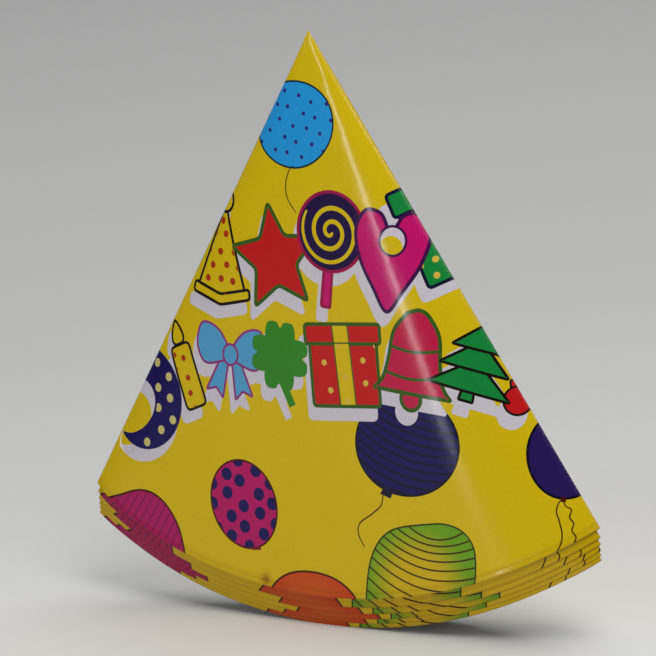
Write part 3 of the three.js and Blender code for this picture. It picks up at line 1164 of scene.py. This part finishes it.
def printed_material():
    """Card with offset print under a gloss varnish."""
    material, shader = new_material("printed_card")
    place = attribute(material, "card_place", "Vector")
    ink = attribute(material, "ink", "Color")
    wear = attribute(material, "wear", "Fac")
    mottle = noise_node(material, place, 0.9, 4)
    grain = noise_node(material, place, 9.0, 3)
    density = calculated(material, "ADD",
                         ranged(material, mottle, NOISE_RANGE, (-INK_MOTTLE, INK_MOTTLE)),
                         ranged(material, grain, NOISE_RANGE, (1 - INK_MOTTLE, 1 + INK_MOTTLE)))
    patches = ranged(material, noise_node(material, place, 1.7, 5), RUB_RANGE, (0, RUB_MOST))
    rubbed = calculated(material, "MULTIPLY", wear, patches)
    shade = mixed(material, "MULTIPLY", 1.0, ink, density)
    shade = mixed(material, "MIX", rubbed, shade, RUBBED_BOARD)
    set_input(material, shader.inputs["Base Color"], shade)
    varnish = ranged(material, noise_node(material, place, 0.35, 3), NOISE_RANGE, VARNISH_ROUGHNESS)
    matted = calculated(material, "MULTIPLY", rubbed, RUB_ROUGHNESS)
    set_input(material, shader.inputs["Roughness"], calculated(material, "ADD", varnish, matted))
    shader.inputs["IOR"].default_value = VARNISH_IOR
    warp = calculated(material, "MULTIPLY", noise_node(material, place, 0.22, 2), WARP_SHARE)
    relief = calculated(material, "ADD", noise_node(material, place, 1.1, 3), warp)
    bumped(material, shader, relief, 0.00002, 0.35)
    return material


def bare_material():
    """The uncoated inner face: grey-white board with fibres."""
    material, shader = new_material("bare_board")
    place = attribute(material, "card_place", "Vector")
    fibres = noise_node(material, place, 6.0, 6, 0.7)
    clouds = noise_node(material, place, 0.25, 3)
    shade = mixed(material, "MIX", ranged(material, fibres, FIBRE_RANGE, (0, 1)), BARE_DARK, BARE_LIGHT)
    shade = mixed(material, "MULTIPLY", 1.0, shade, ranged(material, clouds, NOISE_RANGE, BARE_CLOUDS))
    set_input(material, shader.inputs["Base Color"], shade)
    shader.inputs["Roughness"].default_value = 0.85
    bumped(material, shader, fibres, 0.00004, 0.6)
    return material


def cut_material():
    """The die-cut edge: the pale core of the card."""
    material, shader = new_material("cut_edge")
    place = attribute(material, "card_place", "Vector")
    fuzz = noise_node(material, place, 12.0, 4, 0.7)
    shade = mixed(material, "MIX", ranged(material, fuzz, FIBRE_RANGE, (0, 1)), CUT_DARK, CUT_LIGHT)
    set_input(material, shader.inputs["Base Color"], shade)
    shader.inputs["Roughness"].default_value = 0.8
    bumped(material, shader, fuzz, 0.00005, 0.5)
    return material


PRINTED = printed_material()
BARE = bare_material()
CUT = cut_material()


# ---- the nest

def hat_facts(index):
    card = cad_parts[f"hat_{index + 1}_card"]
    tip = max((vertex.co for vertex in card.data.vertices), key=lambda place: place.z)
    return {
        "index": index,
        "tip": tuple(tip),
        "drop": DROPS[index],
        "tip_length": TIP_LENGTHS[index],
        "front_swell": FRONT_SWELLS[index],
        "back_swell": FRONT_SWELLS[index] + SEAM_ROOM * (HATS - 1 - index),
        "seam": SEAM_MIDDLES[index],
        "print_turn": (SEAM_MIDDLES[0] - SEAM_MIDDLES[index]) * PANEL_ARC + PRINT_DRIFTS[index],
    }


def make_hats():
    layers = print_sheet()
    for index in range(HATS):
        hat = hat_facts(index)
        name = f"hat_{index + 1}"
        tab_body = {"left": name, "right": name}
        if index == 0:
            tab_body = {"left": "hat_1_left_tab", "right": "hat_1_right_tab"}
        edge = sheet_outline(hat)
        borders, back_borders = ([edge] + [tab_outline(side, SLIT, lip) for side in (FRONT, BACK)]
                                 for lip in (SLIT_LIP, 0))
        card = card_piece(f"{name}_printed_card", hat, borders, back_borders, layers, pushed=False)
        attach(card, name)
        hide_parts(f"{name}_card")
        for word, side in (("left", FRONT), ("right", BACK)):
            tongue = [tab_outline(side, 0)]
            tab = card_piece(f"{name}_{word}_tongue", hat, tongue, tongue, layers, pushed=True)
            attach(tab, tab_body[word])
            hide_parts(f"{name}_{word}_cord_tab")


# ---- floor, lights and camera

def view_axes():
    towards = Vector((math.sin(CAMERA_AZIMUTH) * math.cos(CAMERA_ELEVATION),
                      -math.cos(CAMERA_AZIMUTH) * math.cos(CAMERA_ELEVATION),
                      math.sin(CAMERA_ELEVATION)))
    level = (-towards).cross(Vector((0, 0, 1))).normalized()
    upright = level.cross(-towards)
    right = math.cos(CAMERA_ROLL) * level + math.sin(CAMERA_ROLL) * upright
    up = -math.sin(CAMERA_ROLL) * level + math.cos(CAMERA_ROLL) * upright
    return right, up, towards


def make_camera():
    right, up, towards = view_axes()
    tip = Vector(hat_facts(0)["tip"])
    place = tip - TIP_ACROSS * right - TIP_UP * up + CAMERA_DISTANCE * towards
    data = bpy.data.cameras.new("camera")
    data.sensor_width = SENSOR
    data.lens = SENSOR * LENS_OVER_SENSOR
    camera = bpy.data.objects.new("camera", data)
    axes = Matrix((right, up, towards)).transposed().to_4x4()
    camera.matrix_world = Matrix.Translation(place) @ axes
    bpy.context.scene.collection.objects.link(camera)
    bpy.context.scene.camera = camera


def make_light(name, azimuth, elevation, distance, width, height, watts, colour):
    a = math.radians(azimuth)
    e = math.radians(elevation)
    towards = Vector((math.sin(a) * math.cos(e), -math.cos(a) * math.cos(e), math.sin(e)))
    data = bpy.data.lights.new(name, "AREA")
    data.shape = "RECTANGLE"
    data.size = width
    data.size_y = height
    data.energy = watts
    data.color = colour
    light = bpy.data.objects.new(name, data)
    light.location = Vector(LIT_PLACE) + towards * distance
    light.rotation_euler = towards.to_track_quat("Z", "Y").to_euler()
    bpy.context.scene.collection.objects.link(light)


def make_studio():
    mesh = bpy.data.meshes.new("floor")
    corners = [(x * FLOOR_HALF, y * FLOOR_HALF, 0) for x, y in ((-1, -1), (1, -1), (1, 1), (-1, 1))]
    mesh.from_pydata(corners, [], [(0, 1, 2, 3)])
    floor = bpy.data.objects.new("floor", mesh)
    material, shader = new_material("floor")
    shader.inputs["Base Color"].default_value = FLOOR_SHADE
    shader.inputs["Roughness"].default_value = 0.9
    mesh.materials.append(material)
    bpy.context.scene.collection.objects.link(floor)

    world = bpy.data.worlds.new("studio")
    world.use_nodes = True
    world.node_tree.nodes["Background"].inputs["Color"].default_value = WORLD_SHADE
    world.node_tree.nodes["Background"].inputs["Strength"].default_value = WORLD_STRENGTH
    bpy.context.scene.world = world
    for name, facts in SOFT_BOXES.items():
        make_light(name, *facts)
    bpy.context.scene.view_settings.view_transform = "Standard"


make_camera()
make_hats()
make_studio()
